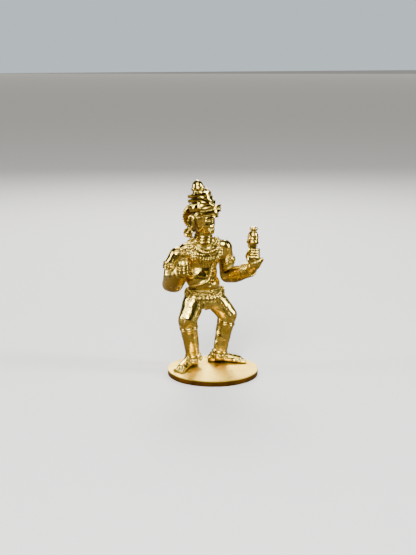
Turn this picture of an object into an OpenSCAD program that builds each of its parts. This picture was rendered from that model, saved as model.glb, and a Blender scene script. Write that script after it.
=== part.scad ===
// Small cast brass temple figure standing on a round disc, knees bent, both forearms raised forward.
// The figure faces -Y, its right hand is on the -X side, and the disc rests on z = 0.

/* [Base disc] */
// Diameter of the round base disc
disc_d = 29.2; // [28:0.2:34]
// Thickness of the base disc
disc_t = 1.8; // [1.6:0.1:2.6]
// Height of the bevel round the disc's top edge
disc_bevel = 0.25; // [0.1:0.05:0.4]

/* [Legs] */
// Distance from the middle to each ankle, sideways
ankle_x = 4.8; // [4.4:0.1:5.2]
// Distance from the middle to each knee, sideways
knee_x = 7.2; // [6.9:0.1:7.5]
// Height of the knees above the disc
knee_h = 15.4; // [15:0.1:16]
// Radius of the draped thigh
thigh_r = 3.2; // [3:0.1:3.4]
// Radius of the shin below the knee
shin_r = 2.75; // [2.5:0.05:2.9]

/* [Body] */
// Height of the waist belt above the disc
belt_h = 24.5; // [24.3:0.1:24.9]
// Half width of the belt, side to side
belt_a = 5.7; // [5.5:0.1:6]
// Half depth of the belt, front to back
belt_b = 4.5; // [4.3:0.1:4.8]
// How far the body's middle line stands behind the disc's centre
body_y = 6.2; // [5.8:0.1:6.6]

/* [Arms] */
// Distance from the middle to each shoulder
shoulder_x = 9.4; // [9.2:0.1:9.8]
// Radius of the upper arm
arm_r = 2.5; // [2.3:0.1:2.6]
// How far each wrist is thrust in front of the elbow
reach = 13.6; // [12.5:0.1:14.5]

/* [Head] */
// Number of beads along the headband
band_beads = 15; // [11:2:19]
// Diameter of the wheel behind the head
wheel_d = 7.8; // [7:0.2:8.2]

/* [Hidden] */
fine = 48;
medium = 24;
coarse = 16;

// side is -1 for the figure's right and +1 for its left
function on(side, p) = [side * p[0], p[1], p[2]];
function pick(side, pair) = side < 0 ? pair[0] : pair[1];
function wrist(side) =
    [shoulder_x + pick(side, wrist_out), 8.2 - reach, elbow(side)[2] + pick(side, wrist_rise)];
function palm(side) = wrist(side) + [0.1, -1.5, 2.3];
function mix(p, q, t) = p + t * (q - p);
function length_of(v) = norm(v);

heel = [3.4, 6.8, disc_t + 1.2];
ball = [10, 2.3, disc_t + 0.95];
ankle = [ankle_x, 4.6, disc_t + 4.2];
function knee(side) = [knee_x + 0.35 * side, 4.2, disc_t + knee_h];
hip = [2.9, body_y, disc_t + 22.6];
belt_c = [0, body_y, disc_t + belt_h];
neck_foot = [-0.3, body_y + 0.3, 41.8];
chin_z = 45;
brow_z = 50.6;
head_c = [-0.6, body_y - 0.5, 49.6];
// degrees that face, ears and diadem turn to the figure's left
head_turn = 15;
crown_foot = [-0.6, body_y - 0.1, 52.9];
crown_lean = [-12, -8, 0];
arm_shift = [-0.8, 0, 0];
shoulder = [shoulder_x - 0.3, 7.6, 39.3];
function elbow(side) = [shoulder_x + 1.5, 8.2, 29.5 + 0.4 * side];
wrist_rise = [7.2, 4.4];
wrist_out = [3.2, 2.8];
// how much fuller and lower the middle of each forearm is, right then left
forearm_swell = [0.55, 0.2];

// Ball used as a joint of the rounded limbs
module knob(p, r) {
    translate(p) sphere(r = r, $fn = coarse);
}

// Rounded limb through a list of [point, radius]
module limb(stops) {
    for (i = [0 : len(stops) - 2]) {
        hull() {
            knob(stops[i][0], stops[i][1]);
            knob(stops[i + 1][0], stops[i + 1][1]);
        }
    }
}

// Body made of flat rounded slabs, each [z, y, half width, half depth]
module stacked(levels, middle_x = 0) {
    slab = 0.3;
    for (i = [0 : len(levels) - 2]) {
        hull() {
            for (level = [levels[i], levels[i + 1]]) {
                spread = max(level[2] - level[3], 0.01);
                for (side = [-1, 1]) {
                    translate([middle_x + side * spread, level[1], level[0]])
                        cylinder(r = level[3], h = slab, center = true, $fn = medium);
                }
            }
        }
    }
}

// Turns +Z onto the direction from p to q, standing at p
module along(p, q) {
    d = q - p;
    translate(p)
        rotate([0, acos(d[2] / length_of(d)), atan2(d[1], d[0])])
            children();
}

module ring(r, wire) {
    rotate_extrude($fn = fine)
        translate([r, 0]) circle(r = wire, $fn = coarse);
}

// Beads set evenly on a circle of radius r, from angle a0 to a1
module bead_row(r, bead, count, a0, a1) {
    for (i = [0 : count - 1]) {
        rotate([0, 0, a0 + (a1 - a0) * i / (count - 1)])
            translate([r, 0, 0]) sphere(r = bead, $fn = coarse);
    }
}

function ellipse(a, b, count) =
    [for (i = [0 : count - 1]) [a * cos(360 * i / count), b * sin(360 * i / count)]];

module oval_band(a, b, wall, h) {
    linear_extrude(height = h, center = true)
        difference() {
            polygon(ellipse(a, b, fine));
            polygon(ellipse(a - wall, b - wall, fine));
        }
}

module base_disc() {
    color("gold")
        rotate_extrude($fn = 96)
            polygon([
                [0, 0], [disc_d / 2 - disc_bevel, 0], [disc_d / 2, disc_bevel],
                [disc_d / 2, disc_t - disc_bevel], [disc_d / 2 - disc_bevel, disc_t], [0, disc_t]
            ]);
}

module above_disc() {
    intersection() {
        translate([-50, -50, disc_t]) cube([100, 100, 100]);
        children();
    }
}

module foot(side) {
    toe_r = 0.62;
    forward = (ball - heel) / length_of(ball - heel);
    across = [-forward[1], forward[0], 0];
    color("gold")
        above_disc()
            difference() {
                union() {
                    limb([[on(side, heel), 1.7], [on(side, mix(heel, ball, 0.45) + [0, 0, 0.2]), 1.8]]);
                    limb([
                        [on(side, mix(heel, ball, 0.45) + [0, 0, 0.2]), 1.8],
                        [on(side, ball - [0, 0, 0.1]), 1.55]
                    ]);
                    limb([
                        [on(side, ankle - [0, 0, 2.4]), 2.1],
                        [on(side, mix(heel, ball, 0.6) + [0, 0, 0.1]), 1.6]
                    ]);
                    for (i = [-2 : 2]) {
                        reach_out = 2.3 - 0.28 * abs(i - 1);
                        limb([
                            [on(side, ball + across * i * 0.62 - [0, 0, 0.3]), toe_r],
                            [on(side, ball + across * i * 0.66 + forward * reach_out - [0, 0, 0.4]), toe_r]
                        ]);
                    }
                }
                anklet_core(side);
            }
}

// Everything above the foot's top plane, cut out of the foot so that pieces meet there
module anklet_core(side) {
    translate(on(side, [ankle[0], ankle[1], disc_t + 2.7]))
        cylinder(r = 4, h = 10, $fn = medium);
}

module anklet(side) {
    color("goldenrod")
        translate(on(side, [ankle[0], ankle[1], disc_t + 3.1])) {
            difference() {
                cylinder(r = 2.75, h = 0.8, center = true, $fn = fine);
                cylinder(r = 2.2, h = 2, center = true, $fn = fine);
            }
            translate([0, 0, 0.75]) ring(2.35, 0.4);
            bead_row(2.75, 0.42, 13, 0, 332);
        }
}

module shin(side) {
    color("gold")
        intersection() {
            limb([
                for (i = [0 : 8])
                    let (t = i / 8)
                    [
                        on(side, mix([ankle[0], ankle[1], disc_t + 2], knee(side), t)
                            + [0, -0.5 * sin(180 * t), 0]),
                        2.15 + (shin_r - 2.15) * sin(90 * min(1, 1.5 * t))
                    ]
            ]);
            translate([-50, -50, disc_t + 2.7]) cube([100, 100, knee_h - 5]);
        }
}

module hem(side) {
    knee_c = on(side, knee(side));
    shin_p = on(side, mix(ankle, knee(side), 0.78));
    color("goldenrod")
        along(shin_p, knee_c) {
            difference() {
                cylinder(r1 = 2.95, r2 = 3.1, h = 0.9, $fn = fine);
                translate([0, 0, -1]) cylinder(r = 2.6, h = 4, $fn = fine);
            }
        }
}

module thigh(side) {
    knee_c = on(side, knee(side));
    hip_c = on(side, hip);
    color("gold")
        difference() {
            union() {
                limb([
                    [hip_c, thigh_r + 0.2], [mix(hip_c, knee_c, 0.3), thigh_r],
                    [mix(hip_c, knee_c, 0.6), thigh_r - 0.1], [mix(hip_c, knee_c, 0.85), thigh_r - 0.1],
                    [knee_c, thigh_r - 0.25], [knee_c - [0, 0, 1.2], shin_r + 0.1],
                    [knee_c - [0, 0, 2.2], shin_r + 0.1], [knee_c - [0, 0, 3], shin_r + 0.05],
                    [knee_c - [0, 0, 3.4], shin_r]
                ]);
            }
            hips_form();
            translate([-50, -50, -50]) cube([100, 100, 50 + disc_t + knee_h - 2.3]);
        }
}

hips_levels = [
    [belt_c[2] - 5.2, body_y, 2.6, 2.3], [belt_c[2] - 4.4, body_y, 4, 3],
    [belt_c[2] - 3.6, body_y, 4.9, 3.6], [belt_c[2] - 2.8, body_y, 5.4, 4],
    [belt_c[2] - 2, body_y, 5.6, 4.2], [belt_c[2] - 1.3, body_y, 5.6, 4.3],
    [belt_c[2] - 0.6, body_y, 5.5, 4.3], [belt_c[2] + 0.1, body_y, 5.3, 4.2],
    [belt_c[2] + 0.5, body_y, 5.2, 4.1]
];

module hips_form() {
    stacked(hips_levels);
}

module hips() {
    color("gold") hips_form();
}

module front_flap() {
    flap_h = 4.2;
    flap_top = belt_c[2] - 1.6;
    color("goldenrod")
        for (i = [-2 : 2]) {
            translate([i * 1.05 - 0.6, body_y - belt_b + 0.5, flap_top - flap_h + 0.5 * abs(i)])
                cylinder(r1 = 0.75, r2 = 0.6, h = flap_h - 0.5 * abs(i), $fn = medium);
        }
}

module waist_belt() {
    color("goldenrod")
        translate(belt_c) {
            oval_band(belt_a, belt_b, 0.9, 1.2);
            for (z = [-0.75, 0.75]) {
                translate([0, 0, z]) oval_band(belt_a + 0.25, belt_b + 0.25, 1.1, 0.35);
            }
        }
}

module belt_fringe() {
    tooth_h = 1.7;
    color("goldenrod")
        for (i = [-5 : 5]) {
            a = 270 + i * 14;
            translate(belt_c + [
                (belt_a + 0.15) * cos(a), (belt_b + 0.15) * sin(a), -0.9 - tooth_h
            ])
                cylinder(r1 = 0.3, r2 = 0.6, h = tooth_h, $fn = medium);
        }
}

module hip_knot(side) {
    centre = belt_c + [side * (belt_a + 0.1), -0.6, -0.9];
    color("goldenrod") {
        translate(centre) sphere(r = 1.15, $fn = medium);
        translate(centre + [side * 0.35, -0.2, -3.4])
            cylinder(r1 = 0.9, r2 = 0.55, h = 3, $fn = medium);
    }
}

torso_levels = [
    [belt_c[2] + 0.65, body_y - 0.1, 5.1, 4.1], [28.2, body_y - 0.5, 5.1, 4.2],
    [30.2, body_y - 0.3, 5, 3.8], [32.2, body_y, 4.9, 3.4],
    [34.4, body_y + 0.1, 5.4, 3.5], [36.6, body_y + 0.1, 6, 3.8],
    [38.6, body_y + 0.3, 6.8, 3.8], [40, body_y + 0.7, 7.2, 3.3],
    [41.2, body_y + 0.9, 6.2, 2.8], [42.2, body_y + 0.9, 4.4, 2.4],
    [43, body_y + 0.8, 3, 2.2]
];

module torso() {
    color("gold")
        difference() {
            stacked(torso_levels, -0.4);
            along(neck_foot, neck_foot + [0, -0.6, 3]) cylinder(r = 2.3, h = 6, $fn = medium);
            for (side = [-1, 1]) {
                knob(on(side, shoulder) + arm_shift, arm_r + 0.35);
            }
        }
}

// Cord from the left shoulder, down the left of the chest and across the belly to the right hip.
// Each stop is [degrees from the front, height, half width, half depth of the body there]
thread_stops = [
    [62, 41.2, 6.2, 2.9], [48, 39.2, 6.9, 3.7], [26, 35.2, 5.8, 3.8], [8, 31.6, 5.1, 4],
    [-20, 29.6, 5.2, 4.4], [-52, 28.6, 5.3, 4.5], [-80, 28, 5.4, 4.5]
];

module sacred_thread() {
    color("goldenrod")
        limb([
            for (stop = thread_stops)
                [[stop[2] * sin(stop[0]) - 0.4, body_y - stop[3] * cos(stop[0]), stop[1]], 0.42]
        ]);
}

module neck() {
    color("gold")
        along(neck_foot, neck_foot + [0, -0.6, 3])
            cylinder(r1 = 2.3, r2 = 2.1, h = 4.2, $fn = fine);
}

module neck_rings() {
    color("goldenrod")
        along(neck_foot, neck_foot + [0, -0.6, 3])
            for (i = [0 : 2]) {
                translate([0, 0, 0.9 + i * 0.85]) ring(2.5 - 0.1 * i, 0.42);
            }
}

collar_c = neck_foot + [0, -0.9, -0.9];
collar_tilt = [24, 0, 0];
collar_r = 3.9;

module collar_necklace() {
    color("goldenrod")
        translate(collar_c) rotate(collar_tilt) {
            ring(collar_r, 0.5);
            translate([0, 0, 0.65]) ring(collar_r - 0.75, 0.45);
        }
}

module necklace_pendants() {
    color("goldenrod")
        translate(collar_c) rotate(collar_tilt)
            for (i = [-5 : 5]) {
                rotate([0, 0, 270 + i * 15])
                    translate([collar_r + 0.45, 0, -0.2])
                        rotate([0, 145, 0]) cylinder(r1 = 0.55, r2 = 0.15, h = 2.4, $fn = medium);
            }
}

module shoulder_tassel(side) {
    color("goldenrod")
        for (i = [0 : 4]) {
            translate(on(side, shoulder) + arm_shift + [-side * (3.6 - 0.35 * i), -1.2 - 0.75 * i, 1.9 - i * 0.95])
                sphere(r = 0.62, $fn = coarse);
        }
}

head_levels = [
    [chin_z, body_y - 2.4, 1.2, 1.1], [chin_z + 0.7, body_y - 1.9, 2.3, 2],
    [chin_z + 1.9, body_y - 1.2, 3.1, 2.9], [chin_z + 3.3, body_y - 0.8, 3.5, 3.5],
    [chin_z + 4.8, body_y - 0.6, 3.7, 3.8], [chin_z + 6.2, body_y - 0.4, 3.75, 3.9],
    [chin_z + 7.6, body_y - 0.2, 3.5, 3.7], [chin_z + 8.6, body_y - 0.1, 2.9, 3]
];

// Turns what it is given to the figure's left about the neck
module turned() {
    translate([head_c[0], body_y, 0]) rotate([0, 0, head_turn]) translate([-head_c[0], -body_y, 0])
        children();
}

module head_form() {
    front = body_y - 4.3;
    mid_x = head_c[0];
    stacked(head_levels, mid_x);
    // nose
    limb([
        [[mid_x, front + 0.45, brow_z - 0.7], 0.42], [[mid_x, front - 0.15, brow_z - 2.6], 0.5]
    ]);
    for (side = [-1, 1]) {
        // brow, upper eyelid and half of each lip
        limb([
            [[mid_x + side * 0.6, front + 0.35, brow_z], 0.3],
            [[mid_x + side * 2.3, front + 1.1, brow_z - 0.1], 0.28]
        ]);
        limb([
            [[mid_x + side * 0.95, front + 0.5, brow_z - 1.15], 0.38],
            [[mid_x + side * 1.95, front + 0.85, brow_z - 1.15], 0.34]
        ]);
        limb([
            [[mid_x, front + 0.25, brow_z - 3.75], 0.3],
            [[mid_x + side * 0.9, front + 0.7, brow_z - 3.7], 0.22]
        ]);
    }
}

module head() {
    color("gold")
        difference() {
            turned() head_form();
            along(neck_foot, neck_foot + [0, -0.6, 3])
                cylinder(r1 = 2.3, r2 = 2.1, h = 4.2, $fn = fine);
            translate(crown_foot) rotate(crown_lean) cylinder(r = 4.5, h = 10, $fn = medium);
        }
}

module hair_bun() {
    color("goldenrod")
        intersection() {
            translate([head_c[0], body_y + 2.1, 49.4]) sphere(r = 3.1, $fn = fine);
            translate([-10, body_y + 3.4, 40]) cube([20, 10, 20]);
        }
}

module head_wheel() {
    color("goldenrod")
        translate([head_c[0], body_y + 5.4, 49.9])
            rotate([90, 0, 0]) {
                cylinder(d = wheel_d, h = 0.9, center = true, $fn = fine);
                ring(wheel_d / 2 - 0.3, 0.62);
            }
}

module ear(side) {
    x = head_c[0] + side * 3.9;
    color("gold")
        turned() limb([
            [[x, body_y + 0.2, 50.6], 0.6], [[x + side * 0.3, body_y + 0.9, 50.2], 0.6],
            [[x + side * 0.35, body_y + 1.2, 49.4], 0.55], [[x + side * 0.35, body_y + 1.1, 48.6], 0.5],
            [[x + side * 0.3, body_y + 0.8, 47.8], 0.55], [[x + side * 0.2, body_y + 0.6, 47.2], 0.6],
            [[x + side * 0.1, body_y + 0.2, 47.8], 0.45], [[x, body_y, 48.8], 0.45],
            [[x, body_y, 50.2], 0.45]
        ]);
}

module earring(side) {
    color("goldenrod")
        turned() translate([head_c[0] + side * 4.9, body_y + 1.1, 45.6]) {
            sphere(r = 1.25, $fn = medium);
            rotate([0, 90, 0]) ring(1.2, 0.42);
        }
}

band_c = [head_c[0] + 0.3, body_y - 0.5, 51.2];
band_tilt = [-14.5, -3, 0];
tiara_a = 5;
tiara_b = 5.3;
tiara_lift = 1;

// Sector of a circle, spread degrees to each side of the figure's front
module front_sector(r, spread) {
    polygon(concat([[0, 0]], [for (a = [-spread : 5 : spread]) [r * sin(a), -r * cos(a)]]));
}

module headband() {
    color("goldenrod")
        turned() translate(band_c) rotate(band_tilt) {
            translate([0, 0, -1.8]) oval_band(4.1, 4.3, 0.8, 0.9);
            translate([0, 0, -1]) oval_band(4.3, 4.5, 0.9, 0.8);
            oval_band(4.5, 4.7, 1.2, 1.3);
            // the tall front plate stands only over the brow
            translate([0.25, -0.2, 0.3])
                linear_extrude(height = 1.3)
                    intersection() {
                        difference() {
                            polygon(ellipse(tiara_a, tiara_b, fine));
                            polygon(ellipse(tiara_a - 1.8, tiara_b - 1.8, fine));
                        }
                        front_sector(8, 60);
                    }
        }
}

module headband_beads() {
    color("gold")
        turned() translate(band_c) rotate(band_tilt) translate([0.25, -0.2, tiara_lift])
            for (i = [0 : band_beads - 1]) {
                a = 270 - 54 + 108 * i / (band_beads - 1);
                translate([tiara_a * cos(a), tiara_b * sin(a), 0]) sphere(r = 0.42, $fn = coarse);
            }
}

module crown() {
    color("gold")
        translate(crown_foot) rotate(crown_lean)
            rotate_extrude($fn = fine)
                polygon([
                    [0, 0], [4.15, 0], [4.1, 0.9], [3.9, 1.7], [3.1, 2.5], [3.9, 2.9], [3.9, 3.5],
                    [2.8, 3.9], [3.6, 4.3], [3.6, 4.8], [2.3, 5.3], [1.8, 6.2], [0, 6.2]
                ]);
}

module crown_loops() {
    color("goldenrod")
        translate(crown_foot) rotate(crown_lean)
            for (row = [0 : 2]) {
                for (i = [-1 : 1]) {
                    rotate([0, 0, 270 + head_turn + i * (30 + 5 * row)])
                        translate([4 - 0.45 * row, 0, 1.3 + 1.7 * row])
                            rotate([0, 72, 0]) ring(0.55, 0.24);
                }
            }
}

module crown_finial() {
    color("gold")
        translate(crown_foot) rotate(crown_lean) translate([0, 0, 6.2])
            rotate_extrude($fn = fine)
                polygon([
                    [0, 0], [1.5, 0], [1.95, 0.35], [2.05, 0.8], [1.75, 1.1], [1.85, 1.45],
                    [1.5, 2.1], [0.95, 2.65], [0.4, 3], [0, 3.1]
                ]);
}

module upper_arm(side) {
    s = on(side, shoulder) + arm_shift;
    e = on(side, elbow(side)) + arm_shift;
    color("gold")
        difference() {
            limb([
                [s, arm_r + 0.35], [mix(s, e, 0.15), arm_r + 0.3], [mix(s, e, 0.3), arm_r + 0.1],
                [mix(s, e, 0.45), arm_r], [mix(s, e, 0.6), arm_r], [mix(s, e, 0.75), arm_r],
                [mix(s, e, 0.88), arm_r - 0.1], [e, arm_r - 0.2], [e + [0, -0.4, 0], arm_r - 0.3]
            ]);
            forearm_form(side);
        }
}

// Half space in front of the elbow, where the forearm takes over
module forearm_cut(side) {
    e = on(side, elbow(side)) + arm_shift;
    along(e + [0, -0.9, 0.35], on(side, wrist(side)) + arm_shift) cylinder(r = 7, h = 12, $fn = medium);
}

module armlet(side) {
    s = on(side, shoulder) + arm_shift;
    e = on(side, elbow(side)) + arm_shift;
    color("goldenrod")
        along(mix(s, e, 0.42), e) {
            for (i = [-1 : 1]) {
                translate([0, 0, i * 0.8]) ring(arm_r + 0.1, 0.42);
            }
            rotate([0, 0, side < 0 ? 250 : 290]) translate([arm_r + 0.3, 0, 0]) sphere(r = 1, $fn = medium);
        }
}

module forearm_form(side) {
    e = on(side, elbow(side)) + arm_shift;
    w = on(side, wrist(side)) + arm_shift;
    intersection() {
        limb([
            for (i = [0 : 8])
                let (swell = sin(180 * min(1, i / 7)) * pick(side, forearm_swell))
                [mix(e, w, i / 8) - [0, 0, swell], arm_r - 0.05 - 0.065 * i + swell]
        ]);
        forearm_cut(side);
    }
}

module forearm(side) {
    color("gold") forearm_form(side);
}

module bracelets(side) {
    e = on(side, elbow(side)) + arm_shift;
    w = on(side, wrist(side)) + arm_shift;
    color("goldenrod")
        along(mix(e, w, 0.72), w)
            for (i = [0 : 3]) {
                translate([0, 0, i * 0.85]) ring(2.1 - 0.03 * i, 0.42);
            }
}

module hand(side) {
    p = on(side, palm(side)) + arm_shift;
    e = on(side, elbow(side)) + arm_shift;
    w = on(side, wrist(side)) + arm_shift;
    color("gold")
        difference() {
            union() {
                limb([[w, 1.75], [p, 1.7]]);
                for (i = [-1.5 : 1 : 1.5]) {
                    knuckle = p + [side * i * 0.75, -1.1, 0.9];
                    tip = p + [side * i * 0.6, -0.2, 2.9];
                    limb([[p, 1.2], [knuckle, 0.62]]);
                    limb([[knuckle, 0.62], [tip, 0.5]]);
                }
                limb([[p, 1.2], [p + [-side * 1.5, 0.5, 1.3], 0.62]]);
                limb([[p + [-side * 1.5, 0.5, 1.3], 0.62], [p + [-side * 0.8, 0.3, 2.8], 0.5]]);
            }
            translate(p + [0, 0.2, 0.8]) cylinder(r = 0.95, h = 8, $fn = medium);
            along(e, w) cylinder(r = 3, h = length_of(w - e), $fn = medium);
        }
}

module right_hand_bud() {
    p = on(-1, palm(-1)) + arm_shift + [0, 0.2, 0.8];
    petals = 8;
    petal_reach = 1.4;
    color("goldenrod") {
        translate(p) cylinder(r = 0.95, h = 1.6, $fn = medium);
        translate(p + [0, 0, 2.4]) sphere(r = 1.6, $fn = medium);
        for (i = [0 : petals - 1]) {
            a = 360 * i / petals;
            translate(p + [petal_reach * cos(a), petal_reach * sin(a), 2.2]) sphere(r = 0.75, $fn = coarse);
        }
    }
}

bell_c = on(1, palm(1)) + arm_shift + [-0.8, 0.2, 1.2];

module bell_stem() {
    color("goldenrod")
        translate(bell_c)
            rotate_extrude($fn = fine)
                polygon([
                    [0, 0], [0.95, 0], [0.95, 2.4], [1.35, 3], [1.45, 4], [1.2, 4.9], [1.5, 5.2], [0, 5.2]
                ]);
}

module bell_body() {
    color("gold")
        translate(bell_c + [0, 0, 5.2])
            rotate_extrude($fn = fine)
                polygon([
                    [0, 0], [1.75, 0], [1.85, 0.45], [1.6, 0.8], [1.65, 1.5], [1.55, 2.4], [1.25, 3.1],
                    [0.9, 3.4], [0, 3.4]
                ]);
}

module bell_knob() {
    color("gold")
        translate(bell_c + [0, 0, 8.6])
            rotate_extrude($fn = fine)
                polygon([
                    [0, 0], [0.8, 0], [0.8, 0.3], [1.25, 0.7], [1.3, 1.1], [0.9, 1.5], [0, 1.6]
                ]);
}

base_disc();
foot(-1);  // right_foot
foot(1);  // left_foot
anklet(-1);  // right_anklet
anklet(1);  // left_anklet
shin(-1);  // right_shin
shin(1);  // left_shin
hem(-1);  // right_hem
hem(1);  // left_hem
thigh(-1);  // right_thigh
thigh(1);  // left_thigh
hips();
front_flap();
waist_belt();
belt_fringe();
hip_knot(-1);  // right_hip_knot
hip_knot(1);  // left_hip_knot
torso();
sacred_thread();
neck();
neck_rings();
collar_necklace();
necklace_pendants();
shoulder_tassel(-1);  // right_shoulder_tassel
shoulder_tassel(1);  // left_shoulder_tassel
head();
hair_bun();
head_wheel();
ear(-1);  // right_ear
ear(1);  // left_ear
earring(-1);  // right_earring
earring(1);  // left_earring
headband();
headband_beads();
crown();
crown_loops();
crown_finial();
upper_arm(-1);  // right_upper_arm
upper_arm(1);  // left_upper_arm
armlet(-1);  // right_armlet
armlet(1);  // left_armlet
forearm(-1);  // right_forearm
forearm(1);  // left_forearm
bracelets(-1);  // right_bracelets
bracelets(1);  // left_bracelets
hand(-1);  // right_hand
hand(1);  // left_hand
right_hand_bud();
bell_stem();
bell_body();
bell_knob();
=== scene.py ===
import math

import bmesh
import bpy
import numpy as np
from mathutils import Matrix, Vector
from mathutils.bvhtree import BVHTree


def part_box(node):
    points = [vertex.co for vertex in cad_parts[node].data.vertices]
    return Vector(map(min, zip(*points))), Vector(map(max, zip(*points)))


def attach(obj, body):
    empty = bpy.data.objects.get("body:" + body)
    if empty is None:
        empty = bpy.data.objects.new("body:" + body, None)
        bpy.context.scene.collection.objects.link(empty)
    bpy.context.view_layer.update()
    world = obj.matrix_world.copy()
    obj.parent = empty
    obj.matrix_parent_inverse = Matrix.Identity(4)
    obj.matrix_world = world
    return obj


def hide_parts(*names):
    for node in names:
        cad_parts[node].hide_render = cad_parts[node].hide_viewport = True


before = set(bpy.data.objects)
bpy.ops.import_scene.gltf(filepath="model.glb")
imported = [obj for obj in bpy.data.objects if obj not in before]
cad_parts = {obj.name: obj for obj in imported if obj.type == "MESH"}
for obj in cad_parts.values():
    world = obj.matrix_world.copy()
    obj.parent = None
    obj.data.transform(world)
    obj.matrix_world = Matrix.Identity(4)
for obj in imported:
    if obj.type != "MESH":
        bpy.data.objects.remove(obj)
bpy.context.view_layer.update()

# ---------------------------------------------------------------- camera
# The camera stands a little above the figure's waist and looks slightly down on the disc, from the
# side of the figure's right hand.
MM = 0.001
view_azimuth = math.radians(-28)
view_elevation = math.radians(12)
view_distance = 330 * MM
view_target = Vector((-1.4, 0.75, 31.6)) * MM

bpy.ops.object.camera_add()
camera = bpy.context.object
toward = Vector((
    math.sin(view_azimuth) * math.cos(view_elevation),
    -math.cos(view_azimuth) * math.cos(view_elevation),
    math.sin(view_elevation),
))
camera.location = view_target + toward * view_distance
camera.rotation_euler = (-toward).to_track_quat("-Z", "Y").to_euler()
camera.data.lens = 67.5
camera.data.clip_start = 1 * MM
camera.data.clip_end = 10
bpy.context.scene.camera = camera


# ---------------------------------------------------------------- studio
# A pale sweep of paper, a dim room and soft boxes. Polished metal shows what stands round it, so the
# boxes are narrow enough to leave darker gaps, and the paper carries a painted reflection: it is painted
# dark brown where the metal sees it, pale to the eye.
def from_hex(text):
    """Linear colour from an sRGB hex value."""
    steps = [int(text[i:i + 2], 16) / 255 for i in (1, 3, 5)]
    return [c / 12.92 if c <= 0.04045 else ((c + 0.055) / 1.055) ** 2.4 for c in steps] + [1]


def add_node(tree, kind, settings=None, **links):
    """Adds a shader node, sets its properties and fills its inputs with values or other sockets."""
    node = tree.nodes.new(kind)
    for key, value in (settings or {}).items():
        setattr(node, key, value)
    for key, value in links.items():
        name = key.replace("_", " ")
        socket = node.inputs[int(key[1:])] if key[0] == "i" and key[1:].isdigit() else node.inputs[name]
        if isinstance(value, bpy.types.NodeSocket):
            tree.links.new(value, socket)
        else:
            socket.default_value = value
    return node


def soft_box(name, place, aim, width, height, watts, tint):
    bpy.ops.object.light_add(type="AREA")
    lamp = bpy.context.object
    lamp.name = name
    lamp.location = Vector(place) * MM
    lamp.rotation_euler = (Vector(aim) * MM - lamp.location).to_track_quat("-Z", "Y").to_euler()
    lamp.data.shape = "RECTANGLE"
    lamp.data.size = width * MM
    lamp.data.size_y = height * MM
    lamp.data.energy = watts
    lamp.data.color = from_hex(tint)[:3]


figure_middle = (0, 4, 34)
soft_box("key_box", (-260, -330, 360), figure_middle, 180, 180, 4.8, "#F8FBFF")
soft_box("window_strip", (330, -240, 210), figure_middle, 55, 280, 3.0, "#F2F9FF")
soft_box("back_box", (160, 360, 320), figure_middle, 220, 110, 3.0, "#FFFFFF")
soft_box("left_back_strip", (-380, 160, 150), figure_middle, 45, 240, 1.6, "#F6FAFF")

# a long pale wall at the far edge of the floor, which also gives the disc's top its sheen
wall_middle_z = 1700
soft_box(
    "wall_light", (3070, 5040, wall_middle_z), (0, 0, wall_middle_z), 13000, 2 * wall_middle_z, 84,
    "#DCDDCA")

bpy.ops.object.light_add(type="SUN", rotation=(math.radians(24), math.radians(-18), 0))
overhead = bpy.context.object
overhead.name = "ceiling_light"
overhead.data.energy = 1.7
overhead.data.angle = math.radians(46)

world = bpy.data.worlds.new("room")
bpy.context.scene.world = world
world.use_nodes = True
world.node_tree.nodes.clear()
seen = add_node(world.node_tree, "ShaderNodeLightPath")
wall = add_node(world.node_tree, "ShaderNodeBackground", Color=from_hex("#C6D3D8"), Strength=1.1)
dim = add_node(world.node_tree, "ShaderNodeBackground", Color=from_hex("#9FA08C"), Strength=0.02)
room = add_node(
    world.node_tree, "ShaderNodeMixShader", i0=seen.outputs["Is Camera Ray"], i1=dim.outputs[0],
    i2=wall.outputs[0])
add_node(world.node_tree, "ShaderNodeOutputWorld", Surface=room.outputs[0])

bpy.ops.mesh.primitive_plane_add(size=12)
floor = bpy.context.object
floor.name = "floor"
paper = bpy.data.materials.new("pale_paper")
paper.use_nodes = True
paper.node_tree.nodes.clear()
paper_coords = add_node(paper.node_tree, "ShaderNodeTexCoord")
paper_fibre = add_node(
    paper.node_tree, "ShaderNodeTexNoise", Vector=paper_coords.outputs["Object"], Scale=900)
paper_bump = add_node(
    paper.node_tree, "ShaderNodeBump", Height=paper_fibre.outputs[0], Strength=0.05, Distance=0.0001)
paper_skin = add_node(
    paper.node_tree, "ShaderNodeBsdfPrincipled", Roughness=0.7, Normal=paper_bump.outputs[0])
# painted reflection: glossy rays from the metal see the paper painted dark brown, all other rays see it
# pale
seen_in_metal = add_node(paper.node_tree, "ShaderNodeLightPath").outputs["Is Glossy Ray"]
paper_tone_with_painted_reflection = add_node(
    paper.node_tree, "ShaderNodeMix", {"data_type": "RGBA"},
    i0=seen_in_metal, i6=from_hex("#DEDBD6"), i7=from_hex("#594A2E"))
paper.node_tree.links.new(paper_tone_with_painted_reflection.outputs[2], paper_skin.inputs["Base Color"])
add_node(paper.node_tree, "ShaderNodeOutputMaterial", Surface=paper_skin.outputs[0])
floor.data.materials.append(paper)
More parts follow.
